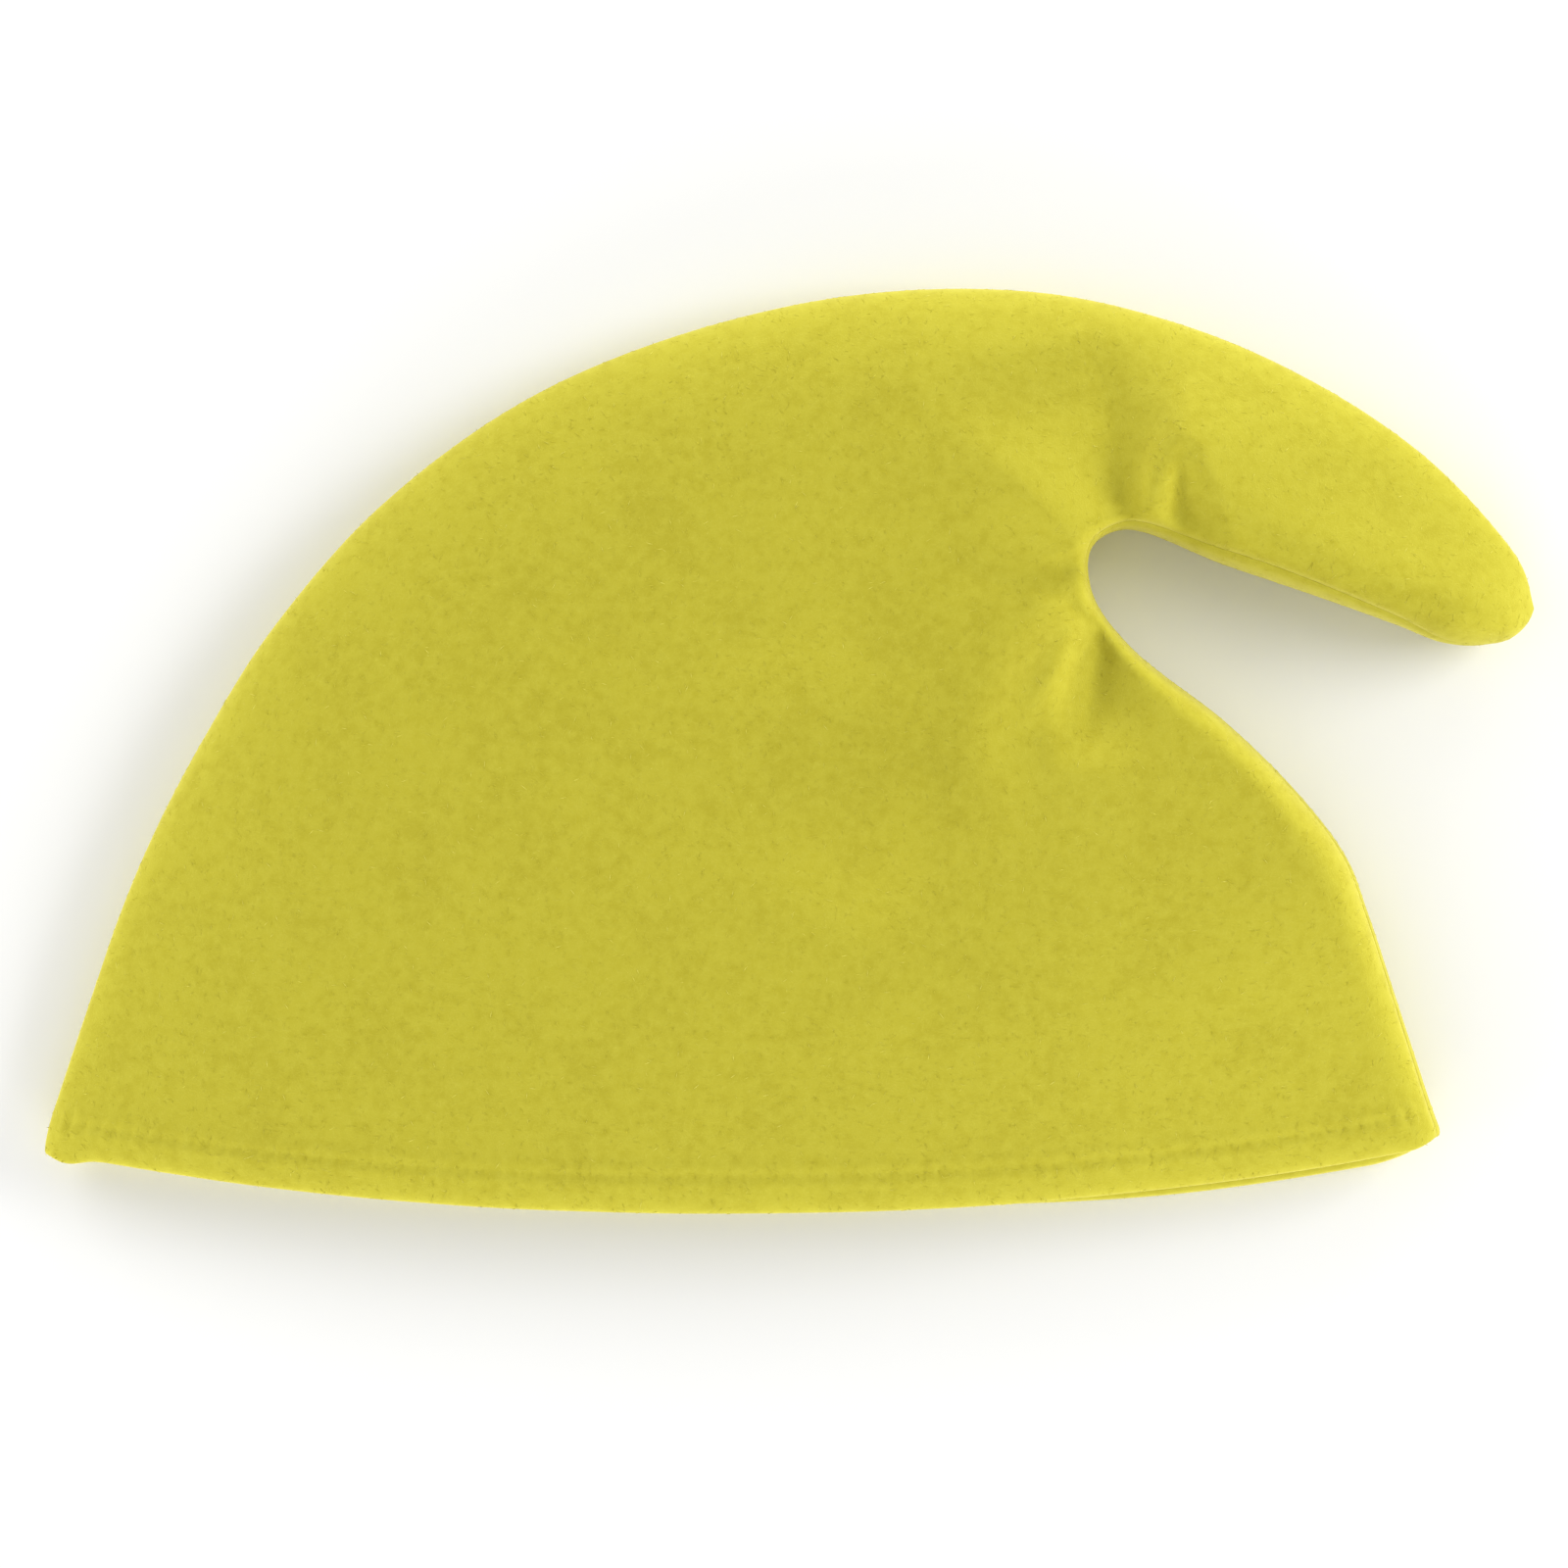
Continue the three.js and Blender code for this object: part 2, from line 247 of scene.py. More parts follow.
def waviness(places):
    """Low waves and bumps that keep the felt from looking moulded."""
    random = np.random.default_rng(WAVE_SEED)
    total = np.zeros(places.shape[:-1])
    for turn, phase, size in random.random((WAVES, 3)):
        length = WAVE_LENGTHS[0] + (WAVE_LENGTHS[1] - WAVE_LENGTHS[0]) * size
        way = np.array([math.cos(math.pi * turn), math.sin(math.pi * turn)]) * 2 * math.pi / length
        total += WAVE_SLOPE * length / (2 * math.pi) * np.sin(places @ way + 2 * math.pi * phase)
    for x, y, radius, height in BUMPS:
        total += height * np.exp(-((places - (x, y)) ** 2).sum(axis=-1) / radius ** 2)
    return total


print("folds at their first ends, in mm:", np.round(fold_depth(FOLDS[:, 0:2]) / MM, 1))


# %% Points of the puffed skin
def plan(u, v):
    """Where share v of section u lies on the floor plan, and how wide that section is."""
    back = smooth_line(BACK, u)
    across = smooth_line(FRONT, u) - back
    width = np.linalg.norm(across, axis=-1)
    sideways = np.stack([across[..., 1], -across[..., 0]], axis=-1) / width[..., None]
    bow = eased(BOW, u) * (1 - np.abs(2 * v - 1) ** BOW_POWER)
    return back + across * v[..., None] + sideways * bow[..., None], width


def skin(u, angle):
    """Points of the puffed skin. angle goes over the top from the back edge and, past pi, back underneath."""
    v = (1 - np.cos(angle)) / 2
    places, width = plan(u, v)
    to_back = np.minimum(distance_to(BACK_LINE, places), v * width)
    to_front = np.minimum(distance_to(FRONT_LINE, places), (1 - v) * width)
    to_seam = np.minimum(to_back, to_front)
    to_tip = roll((SPANS - u) / TIP_SPANS)
    seam = eased(SEAM, u)
    shoulder = eased(BACK_SHOULDER, u) * (1 - v) + eased(FRONT_SHOULDER, u) * v
    # skewed is a half where the dome is highest
    skewed = v ** (math.log(0.5) / np.log(eased(PEAK, u)))
    dome = shoulder + (1 - shoulder) * 4 * skewed * (1 - skewed)
    rise = (eased(CREST, u) - seam) * dome + waviness(places)
    folded = fold_depth(places) * (RING_SHARE + (1 - RING_SHARE) * ramp(to_front, 0, FRONT_RING))
    rise = rise / (1 + folded / rise)
    rolled = roll(to_back / np.minimum(eased(BACK_ROLL, u), BACK_ROLL_SHARE * width))
    rolled *= roll(to_front / np.minimum(eased(FRONT_ROLL, u), ROLL_SHARE * width), FRONT_POWER)
    over = seam + rise * rolled * to_tip
    lowered = roll(to_seam / np.minimum(LOWER_ROLL, ROLL_SHARE * width)) * to_tip
    under = seam + (UNDER_LIFT - seam) * lowered
    below = angle > np.pi
    past = LOWER_RIM_PAST * ramp(places[..., 0], *LOWER_RIM_FROM) * np.clip(1 - u, 0, 1)
    past *= 1 - ramp(places[..., 0], *LOWER_RIM_TO)
    places[..., 1] -= np.where(below, past * ramp(to_seam, 0, LOWER_ROLL), 0)
    for x, y, radius, drop in CORNERS:
        places[..., 1] -= drop * np.exp(-((places - (x, y)) ** 2).sum(axis=-1) / radius ** 2)
    return np.dstack([places, np.where(below, under, over)])


SHOWN_SECTION = 4.0
SHOWN_POINTS = 9
shown = skin(np.full((1, SHOWN_POINTS), SHOWN_SECTION), np.linspace(0, np.pi, SHOWN_POINTS)[None])
print("heights over one section in mm:", np.round(shown[0, :, 2] / MM, 1))

# %% [markdown]
# ## A panel as a closed shell
# Each panel has an outer face, an inner face one layer of felt below it, a hem where the felt is turned up
# inside, and edges that dive into the seam. All of that is one depth below the puffed skin: a groove at the
# seam, a round rim, a pit at each needle hole. So the mesh is a sheet of rows that runs down the inside,
# round the rim and up the outside. The hem needs a point about every half millimetre and the crown doesn't,
# so rows may have different numbers of points, and a zip of triangles joins them.

# %% Felt, hem and seam
FELT = 2.5 * MM
HEM_DEPTH = 10 * MM
HEM_STEP = 0.7 * MM
# distances from the side seam between which the hem thickens from one layer to two
HEM_CLEAR = (5 * MM, 14 * MM)
# height of the rim's round edge, and the length of felt in the first span
RIM_ROUND = 7.5 * MM
RIM_SPAN = 33 * MM
GROOVE_DEPTH = 0.4 * MM
GROOVE_WIDTH = 1.3 * MM
# angle by which a panel stops short of the seam, section where its inside ends, and length at the tip over
# which the groove fades out
SEAM_SLIVER = 0.003
INNER_END = 13.9
TIP_SMOOTH = 25 * MM
TINY = 1e-12

BODY_COLUMNS = 200
HEM_COLUMNS = 760
INNER_COLUMNS = 100
# from section, to section, rows
BODY_ROWS = ((0.42, 6.0, 70), (6.0, 11.5, 112), (11.5, 15.0, 48))
# rows up to the top of the hem, crowded towards the rim by a power
HEM_ROWS = 26
HEM_TOP = 12.5 * MM
HEM_CROWDING = 1.25
INNER_HEM_ROWS = np.array([0.4, 1.3, 2.6, 4.5, 7.0, 9.6, 10.4, 12.5]) * MM
print("panel grid:", BODY_COLUMNS, "columns,", sum(row[2] for row in BODY_ROWS), "rows")


# %% Points and normals of a panel
def seam_angle(u):
    """The angle at which the upper panel meets the lower one near the front edge."""
    width = np.linalg.norm(smooth_line(FRONT, u) - smooth_line(BACK, u), axis=-1)
    return np.arccos(2 * eased(WRAP, u) / width - 1)


def panel_angles(side, u, share):
    """The angles of a panel's points, share of the way across it."""
    seam = seam_angle(u)
    first, last = (0 * seam, seam) if side == "upper" else (seam, 0 * seam + 2 * np.pi)
    return first + SEAM_SLIVER + (last - first - 2 * SEAM_SLIVER) * share


def panel_skin(side, rows, shares):
    """Skin points and outward normals of a panel on a grid of sections and shares."""
    u, share = np.meshgrid(rows, shares, indexing="ij")
    points = skin(u, panel_angles(side, u, share))
    normals = np.cross(np.gradient(points, axis=1), np.gradient(points, axis=0))
    return points, normals / np.maximum(np.linalg.norm(normals, axis=2, keepdims=True), TINY)


def run_lengths(points, axis):
    """Length along a grid from its first row or column to each point."""
    steps = np.linalg.norm(np.diff(points, axis=axis), axis=2)
    start = np.zeros_like(steps.take([0], axis=axis))
    return np.concatenate([start, np.cumsum(steps, axis=axis)], axis=axis)


SHOWN_ROWS = np.array([0.0, 0.1])
rim_points, _ = panel_skin("upper", SHOWN_ROWS, np.linspace(0, 1, BODY_COLUMNS))
print("rim of the upper panel:", round(run_lengths(rim_points, 1)[0, -1] / MM), "mm along the felt")

# %% The row of topstitching, measured along the felt
STITCH_PITCH = 3.36 * MM
# heights of the row above the rim, at the back and at the front, and its distance from the seams
STITCH_HEIGHTS = (6.8 * MM, 8.0 * MM)
STITCH_MARGIN = 4 * MM
# the share of a stitch in which the row begins and ends
ROW_FADE = 0.2
# the thread pulls the felt down, the needle leaves holes, and the felt swells beside each stitch
PULL_DEPTH = 0.03 * MM
PULL_WIDTH = 1.3 * MM
HOLE_DEPTH = 0.24 * MM
HOLE_SIZE = 0.62 * MM
PUFF_HEIGHT = 0.19 * MM
PUFF_OFFSET = 1.7 * MM
PUFF_WIDTH = 1.0 * MM
# places measured along the row for each column of the hem or each stitch
FINER = 4


def stitch_height(share):
    """Height of the row above the rim, share of the way from the back to the front."""
    return STITCH_HEIGHTS[0] + (STITCH_HEIGHTS[1] - STITCH_HEIGHTS[0]) * share


class StitchRow:
    """Where the stitches of one panel's hem lie."""

    def __init__(self, side):
        flat = (0, 1) if side == "upper" else (1, 0)
        self.shares = np.linspace(0, 1, FINER * HEM_COLUMNS)
        self.back_to_front = np.interp(self.shares, (0, 1), flat)
        u = stitch_height(self.back_to_front)[None] / RIM_SPAN
        self.points = skin(u, panel_angles(side, u, self.shares[None]))
        self.lengths = run_lengths(self.points, 1)[0]
        sewn = self.lengths[-1] - 2 * STITCH_MARGIN
        self.count = round(sewn / STITCH_PITCH)
        self.pitch = sewn / self.count

    def phase(self, share):
        """Stitches sewn before a share of the way across, so that whole numbers are needle holes."""
        return (np.interp(share, self.shares, self.lengths) - STITCH_MARGIN) / self.pitch

    def even_shares(self, columns):
        """Shares that lie evenly along the felt."""
        return np.interp(np.linspace(0, self.lengths[-1], columns + 1), self.lengths, self.shares)

    def relief(self, height, share):
        """How deep the stitches press the felt, less how far it swells beside them."""
        back_to_front = np.interp(share, self.shares, self.back_to_front)
        across = height - stitch_height(back_to_front)
        phase = self.phase(share)
        sewn = ramp(phase, -ROW_FADE, ROW_FADE) * ramp(self.count - phase, -ROW_FADE, ROW_FADE)
        along = (phase - np.round(phase)) * self.pitch
        pull = PULL_DEPTH * np.exp(-(across / PULL_WIDTH) ** 2)
        hole = HOLE_DEPTH * np.exp(-(along ** 2 + across ** 2) / HOLE_SIZE ** 2)
        between = np.cos(np.pi * (phase - np.floor(phase) - 0.5)) ** 2
        puff = PUFF_HEIGHT * between * np.exp(-((np.abs(across) - PUFF_OFFSET) / PUFF_WIDTH) ** 2)
        return sewn * (pull + hole - puff)


STITCHES = {side: StitchRow(side) for side in ("upper", "lower")}
for side, row in STITCHES.items():
    print(side, "hem:", row.count, "stitches of", round(row.pitch / MM, 2), "mm")


# %% Depths of the outer and the inner face
# the lower panel comes up round the front edge in this first share of its columns
FRONT_COLUMNS = 0.5


def hem_half(to_seam):
    """Half of the hem's thickness, which thins to one layer beside the seam."""
    return FELT * (1 + ramp(to_seam, *HEM_CLEAR)) / 2


def seam_distances(points):
    """Distances along the felt to the nearer side seam, and to the last row."""
    across = run_lengths(points, 1)
    upward = run_lengths(points, 0)
    return np.minimum(across, across[:, -1:] - across), upward[-1:] - upward


def outer_points(side, rows, shares):
    """The outer face of a panel, with its seam groove, round rim and stitched hem."""
    points, normals = panel_skin(side, rows, shares)
    to_side, to_end = seam_distances(points)
    height = (rows * RIM_SPAN)[:, None]
    depth = GROOVE_DEPTH * np.exp(-(to_side / GROOVE_WIDTH) ** 2)
    if rows[-1] == SPANS:
        depth *= ramp(to_end, 0, TIP_SMOOTH)
    depth += hem_half(to_side) * (1 - roll(height / RIM_ROUND))
    depth += STITCHES[side].relief(height, shares[None])
    return points - normals * depth[..., None]


def inner_points(side, rows, shares):
    """The inner face of a panel, with the turned-up layer of the hem."""
    points, normals = panel_skin(side, rows, shares)
    to_side, _ = seam_distances(points)
    height = (rows * RIM_SPAN)[:, None]
    half = hem_half(to_side)
    hemmed = half * (1 + roll(height / RIM_ROUND))
    turned = 1 - ramp(height, HEM_DEPTH, HEM_DEPTH + HEM_STEP)
    inside = points - normals * (FELT + (hemmed - FELT) * turned)[..., None]
    seam = eased(SEAM, rows)[:, None]
    if side == "upper":
        inside[..., 2] = np.maximum(inside[..., 2], seam)
    else:
        wraps = shares[None] < FRONT_COLUMNS
        inside[..., 2] = np.where(wraps, inside[..., 2], np.minimum(inside[..., 2], seam))
    return inside


print("hem:", round(2 * float(hem_half(RIM_SPAN)) / MM, 1), "mm thick away from the seams")


# %% Rows joined into one closed mesh
def zip_rows(a, a_at, b, b_at):
    """Triangles between two rows of point numbers that run the same way, at the places given for each."""
    faces = []
    i, j = 0, 0
    while i + 1 < len(a) or j + 1 < len(b):
        a_next = a_at[i + 1] if i + 1 < len(a) else np.inf
        b_next = b_at[j + 1] if j + 1 < len(b) else np.inf
        if a_next <= b_next:
            faces.append((a[i], a[i + 1], b[j]))
            i += 1
        else:
            faces.append((a[i], b[j + 1], b[j]))
            j += 1
    return [face for face in faces if len(set(face)) == 3]


def row_quads(a, b):
    return [tuple(face) for face in np.stack([a[:-1], a[1:], b[1:], b[:-1]], axis=1).tolist()]


def plain_mesh(name, points, faces):
    """A smooth mesh object at the origin."""
    mesh = bpy.data.meshes.new(name)
    mesh.from_pydata(np.asarray(points).tolist(), [], faces)
    mesh.shade_smooth()
    piece = bpy.data.objects.new(name, mesh)
    bpy.context.scene.collection.objects.link(piece)
    return piece


def triangles(mesh):
    """How many triangles the faces of a mesh make."""
    return sum(len(face.vertices) - 2 for face in mesh.polygons)


def panel_rows():
    """The sections at which the rows of a panel lie: up the hem, up the body, and up the inside."""
    hem = np.linspace(0, 1, HEM_ROWS) ** HEM_CROWDING * HEM_TOP / RIM_SPAN
    spread = [np.linspace(low, high, count, endpoint=False) for low, high, count in BODY_ROWS[:-1]]
    low, high, count = BODY_ROWS[-1]
    closing = low + (high - low) * np.sin(np.linspace(0, np.pi / 2, count + 1))
    body = np.concatenate([*spread, closing])
    inner = np.concatenate([INNER_HEM_ROWS / RIM_SPAN, body[1::2]])
    return hem, body, np.append(inner[inner < INNER_END], INNER_END)


def panel_faces(sheet, inner_rows, outer_rows):
    """Faces between the rows of a sheet that closes on itself, and along its two seam edges."""
    faces = []
    for (a, a_at), (b, b_at) in zip(sheet, sheet[1:] + sheet[:1]):
        faces += row_quads(a, b) if len(a) == len(b) else zip_rows(a, a_at, b, b_at)
    outer_rings = [row for row, _ in sheet[len(inner_rows):]]
    inner_rings = [row for row, _ in sheet[:len(inner_rows)]][::-1]
    for end in (0, -1):
        outer_edge = [row[end] for row in outer_rings]
        inner_edge = [outer_edge[0]] + [row[end] for row in inner_rings]
        side_faces = zip_rows(outer_edge, outer_rows, inner_edge, np.concatenate([[0], inner_rows]))
        faces += side_faces if end == 0 else [face[::-1] for face in side_faces]
    return faces


print("rows up the hem, the body and the inside:", [len(rows) for rows in panel_rows()])


# %% The two panels
def felt_panel(side):
    """One panel of the hat as a closed shell. Its attribute nap is 1 on the face that shows outside."""
    hem_rows, body_rows, inner_rows = panel_rows()
    hem_shares = STITCHES[side].even_shares(HEM_COLUMNS)
    body_shares = np.linspace(0, 1, BODY_COLUMNS + 1)
    inner_shares = np.linspace(0, 1, INNER_COLUMNS + 1)
    grids = [
        (inner_points(side, inner_rows, inner_shares)[::-1], inner_shares),
        (outer_points(side, hem_rows, hem_shares), hem_shares),
        (outer_points(side, body_rows, body_shares), body_shares),
    ]
    points = np.concatenate([grid.reshape(-1, 3) for grid, _ in grids])
    numbers = np.split(np.arange(len(points)), np.cumsum([grid[..., 0].size for grid, _ in grids])[:-1])
    sheet = []
    for ids, (grid, shares) in zip(numbers, grids):
        sheet += [(row, shares) for row in ids.reshape(grid.shape[:2])]
    faces = panel_faces(sheet, inner_rows, np.concatenate([hem_rows, body_rows]))
    piece = plain_mesh(side + "_panel_felt", points, faces)
    nap = piece.data.attributes.new("nap", "FLOAT", "POINT")
    nap.data.foreach_set("value", (np.arange(len(points)) >= len(numbers[0])).astype(np.float32))
    return piece


upper_felt = felt_panel("upper")
lower_felt = felt_panel("lower")
for piece in (upper_felt, lower_felt):
    print(piece.name, len(piece.data.vertices), "points,", triangles(piece.data), "triangles")

# %% [markdown]
# ## Node trees written as sums
# The nap, the stitches and the materials are all node trees. A small class stands for one output of a node,
# so that a sum such as 1 - mask adds the Math nodes by itself, and one method adds any other node.

# %% A wire from a node
class Wire:
    """One output of a node. Sums on it add Math nodes, and node() adds any other kind."""

    def __init__(self, tree, socket=None):
        self.tree = tree
        self.socket = socket

    def node(self, kind, settings=None, sockets=None, output=0):
        """A new node: its settings first, then the values or wires of its sockets."""
        made = self.tree.nodes.new(kind)
        for name, value in (settings or {}).items():
            setattr(made, name, value)
        for key, value in (sockets or {}).items():
            self.feed(made.inputs[key], value)
        return Wire(self.tree, made.outputs[output] if made.outputs else None)

    def feed(self, socket, value):
        """Links a wire to a socket, or sets the socket to a value."""
        if isinstance(value, Wire):
            self.tree.links.new(value.socket, socket)
        else:
            socket.default_value = value

    def sibling(self, output):
        """Another output of the same node."""
        return Wire(self.tree, self.socket.node.outputs[output])

    def math(self, operation, first, second):
        return self.node("ShaderNodeMath", {"operation": operation}, {0: first, 1: second})

    def clamped(self, low, high):
        """0 up to low, 1 from high on, and a smooth rise between them."""
        sockets = {"Value": self, "From Min": low, "From Max": high}
        return self.node("ShaderNodeMapRange", {"interpolation_type": "SMOOTHSTEP"}, sockets)

    def __add__(self, other):
        return self.math("ADD", self, other)

    def __sub__(self, other):
        return self.math("SUBTRACT", self, other)

    def __rsub__(self, other):
        return self.math("SUBTRACT", other, self)

    def __mul__(self, other):
        return self.math("MULTIPLY", self, other)

    __radd__ = __add__
    __rmul__ = __mul__


# %% Colours and materials
def linear(red, green, blue):
    """A colour given as a screen shows it, as the light that it stands for, by the standard screen curve."""
    def one(value):
        share = value / 255
        return share / 12.92 if share <= 0.04045 else ((share + 0.055) / 1.055) ** 2.4
    return (one(red), one(green), one(blue), 1.0)


def new_material(name):
    """A new material, a wire to build its tree with, and its shader."""
    material = bpy.data.materials.new(name)
    material.use_nodes = True
    return material, Wire(material.node_tree), material.node_tree.nodes["Principled BSDF"]


def blend(wire, share, first, second):
    """A colour between two others."""
    sockets = {0: share, 6: first, 7: second}
    return wire.node("ShaderNodeMix", {"data_type": "RGBA", "clamp_factor": True}, sockets, 2)


def soft_noise(wire, place, size, detail):
    return wire.node("ShaderNodeTexNoise", None, {"Vector": place, "Scale": 1 / size, "Detail": detail})


FELT_COLOUR = linear(188, 179, 49)
FELT_DARK = linear(179, 169, 43)
FELT_PALE = linear(202, 195, 70)
FIBRE_PALE = linear(223, 217, 100)
SHEEN_TINT = linear(255, 246, 150)
print("felt colour as light:", [round(value, 3) for value in FELT_COLOUR[:3]])

# %% [markdown]
# ## The felt
# Felt is a mat of short fibres lying every way, so it is matt, a little mottled, and paler where it is seen
# edge-on because the fibre ends catch the light. The mottling is soft noise. The fibres are noise stretched
# along a few directions, which gives short crossing strokes, both in the colour and in the bump. The pale
# edge is the shader's own sheen, so it follows the light from every side.

# %% The felt's grain
# degrees that each layer of strokes is turned, and a shift that keeps the layers from lining up
FIBRE_TURNS = (8, 41, 77, 112, 149)
FIBRE_SHIFT = (1.7, 0.6)
FIBRE_LONG = 1.9 * MM
FIBRE_WIDE = 0.26 * MM
FIBRE_DETAIL = 1.0
# noise at which a stroke begins, and at which it is full
STROKE_RANGE = (0.52, 0.78)
CLOUD = 2.6 * MM
CLOUD_DETAIL = 3.0
MOTTLE = 14 * MM
MOTTLE_DETAIL = 2.0
NOISE_MIDDLE = 0.5
# what the clouds, the mottling and every place add to the dark patches, the range over which those deepen,
# and how dark they get
DARK_CLOUDS = 1.2
DARK_MOTTLING = 1.3
DARK_START = 0.2
DARK_RANGE = (0.0, 0.6)
DARK_SHARE = 0.7
# what the strokes, the clouds and every place add to the pale patches
PALE_STROKES = 0.17
PALE_CLOUDS = 0.6
PALE_START = 0.09
# what the strokes and the clouds add to the bump, and the bump's strength and height
BUMP_STROKES = 0.4
BUMP_CLOUDS = 1.2
BUMP_STRENGTH = 0.14
GRAIN_BUMP = 0.30 * MM
FELT_ROUGHNESS = 0.95
NAP_ROUGHNESS = 0.9
FELT_SPECULAR = 0.15
SHEEN_WEIGHT = 0.68
SHEEN_ROUGHNESS = 0.45
# paleness of a plain fibre of the nap, what its tone adds to it, and the tone from which fibres are palest
NAP_START = 0.1
NAP_TONE = 0.6
PALE_FROM = 0.84


def fibre_strokes(wire, place):
    """Short crossing strokes, from 0 to about 1, at the scale of the felt's fibres."""
    total = 0
    for number, turn in enumerate(FIBRE_TURNS):
        shift = (number * FIBRE_SHIFT[0], number * FIBRE_SHIFT[1], 0)
        settled = {"Rotation": (0, 0, math.radians(turn)), "Location": shift}
        turned = wire.node("ShaderNodeMapping", None, {"Vector": place, **settled})
        sizes = {"Scale": (1 / FIBRE_LONG, 1 / FIBRE_WIDE, 1 / FIBRE_WIDE)}
        stretched = wire.node("ShaderNodeMapping", None, {"Vector": turned, **sizes})
        total = soft_noise(wire, stretched, 1.0, FIBRE_DETAIL).clamped(*STROKE_RANGE) + total
    return total


def matt_sheen(shader, roughness):
    """The dull face and the pale sheen that the felt and its nap share."""
    shader.inputs["Roughness"].default_value = roughness
    shader.inputs["Specular IOR Level"].default_value = FELT_SPECULAR
    shader.inputs["Sheen Weight"].default_value = SHEEN_WEIGHT
    shader.inputs["Sheen Roughness"].default_value = SHEEN_ROUGHNESS
    shader.inputs["Sheen Tint"].default_value = SHEEN_TINT


def felt_finish():
    material, wire, shader = new_material("yellow_felt")
    place = wire.node("ShaderNodeTexCoord", output="Object")
    strokes = fibre_strokes(wire, place)
    clouds = soft_noise(wire, place, CLOUD, CLOUD_DETAIL)
    mottling = soft_noise(wire, place, MOTTLE, MOTTLE_DETAIL)
    dark = (NOISE_MIDDLE - clouds) * DARK_CLOUDS + (NOISE_MIDDLE - mottling) * DARK_MOTTLING + DARK_START
    pale = strokes * PALE_STROKES + (clouds - NOISE_MIDDLE) * PALE_CLOUDS + PALE_START
    colour = blend(wire, dark.clamped(*DARK_RANGE) * DARK_SHARE, FELT_COLOUR, FELT_DARK)
    colour = blend(wire, pale, colour, FELT_PALE)
    wire.feed(shader.inputs["Base Color"], colour)
    height = strokes * BUMP_STROKES + clouds * BUMP_CLOUDS
    sockets = {"Strength": BUMP_STRENGTH, "Distance": GRAIN_BUMP, "Height": height}
    wire.feed(shader.inputs["Normal"], wire.node("ShaderNodeBump", None, sockets))
    matt_sheen(shader, FELT_ROUGHNESS)
    return material


def nap_finish():
    material, wire, shader = new_material("felt_nap")
    tone = wire.node("ShaderNodeAttribute", {"attribute_name": "tone"}, None, "Fac")
    plain = blend(wire, tone * NAP_TONE + NAP_START, FELT_COLOUR, FELT_PALE)
    colour = blend(wire, (tone - PALE_FROM) * (1 / (1 - PALE_FROM)), plain, FIBRE_PALE)
    wire.feed(shader.inputs["Base Color"], colour)
    matt_sheen(shader, NAP_ROUGHNESS)
    return material


yellow_felt = felt_finish()
felt_nap = nap_finish()
for piece in (upper_felt, lower_felt):
    piece.data.materials.append(yellow_felt)
print("felt finish:", len(yellow_felt.node_tree.nodes), "nodes")

# %% [markdown]
# ## The nap
# Single fibres stand a little proud of the felt and catch the light. Each is a sliver that lies along the
# surface with both ends sunk in it. They are far too many to place by hand, so Geometry Nodes scatter them
# over the outer faces, turn each at random, and give each a tone. Most are close to the felt's own colour,
# and about one in six is pale.

# %% One fibre
FIBRE_LENGTH = 2.0 * MM
FIBRE_THICK = 0.24 * MM
# height of its middle above the felt, depth of its ends below, and degrees round it of its three edges
FIBRE_MIDDLE = -0.02 * MM
FIBRE_SINK = 0.05 * MM
FIBRE_EDGES = (90, 210, 330)


def fibre_piece():
    """One fibre: a sliver of six faces, sunk at both ends."""
    half = FIBRE_LENGTH / 2
    radius = FIBRE_THICK / 2
    points = [(-half, 0, -FIBRE_SINK), (half, 0, -FIBRE_SINK)]
    first = len(points)
    for turn in FIBRE_EDGES:
        angle = math.radians(turn)
        points.append((0, radius * math.cos(angle), FIBRE_MIDDLE + radius * math.sin(angle)))
    faces = []
    for edge in range(len(FIBRE_EDGES)):
        one, other = first + edge, first + (edge + 1) % len(FIBRE_EDGES)
        faces += [(0, other, one), (1, one, other)]
    return plain_mesh("one_fibre", points, faces)


one_fibre = fibre_piece()
print("one fibre:", triangles(one_fibre.data), "triangles")


# %% Geometry Nodes trees and their results
def node_group(name, inputs):
    """A Geometry Nodes tree with a geometry input, the named inputs, and a geometry output."""
    tree = bpy.data.node_groups.new(name, "GeometryNodeTree")
    tree.interface.new_socket("Geometry", in_out="INPUT", socket_type="NodeSocketGeometry")
    for label, kind in inputs:
        tree.interface.new_socket(label, in_out="INPUT", socket_type="NodeSocket" + kind)
    tree.interface.new_socket("Geometry", in_out="OUTPUT", socket_type="NodeSocketGeometry")
    wire = Wire(tree)
    return tree, wire, wire.node("NodeGroupInput")


def end_group(wire, geometry, material):
    """Ends a tree: the instances become one mesh with its material."""
    solid = wire.node("GeometryNodeRealizeInstances", None, {"Geometry": geometry})
    finished = wire.node("GeometryNodeSetMaterial", None, {"Geometry": solid, "Material": material})
    wire.node("NodeGroupOutput", None, {"Geometry": finished})


def grown(name, source, tree, inputs):
    """The plain mesh that a tree makes from a source object."""
    modifier = source.modifiers.new(name, "NODES")
    modifier.node_group = tree
    for item in tree.interface.items_tree:
        if item.in_out == "INPUT" and item.name in inputs:
            modifier[item.identifier] = inputs[item.name]
    seen = source.evaluated_get(bpy.context.evaluated_depsgraph_get())
    mesh = bpy.data.meshes.new_from_object(seen)
    mesh.name = name
    source.modifiers.remove(modifier)
    piece = bpy.data.objects.new(name, mesh)
    bpy.context.scene.collection.objects.link(piece)
    print(name, triangles(mesh), "triangles")
    return piece


# %% The nap is laid
FIBRES_PER_M2 = 300_000.0
LOWER_FIBRES_PER_M2 = FIBRES_PER_M2 / 2
FIBRE_SCALES = (0.35, 1.25)
NAP_SEED = 5


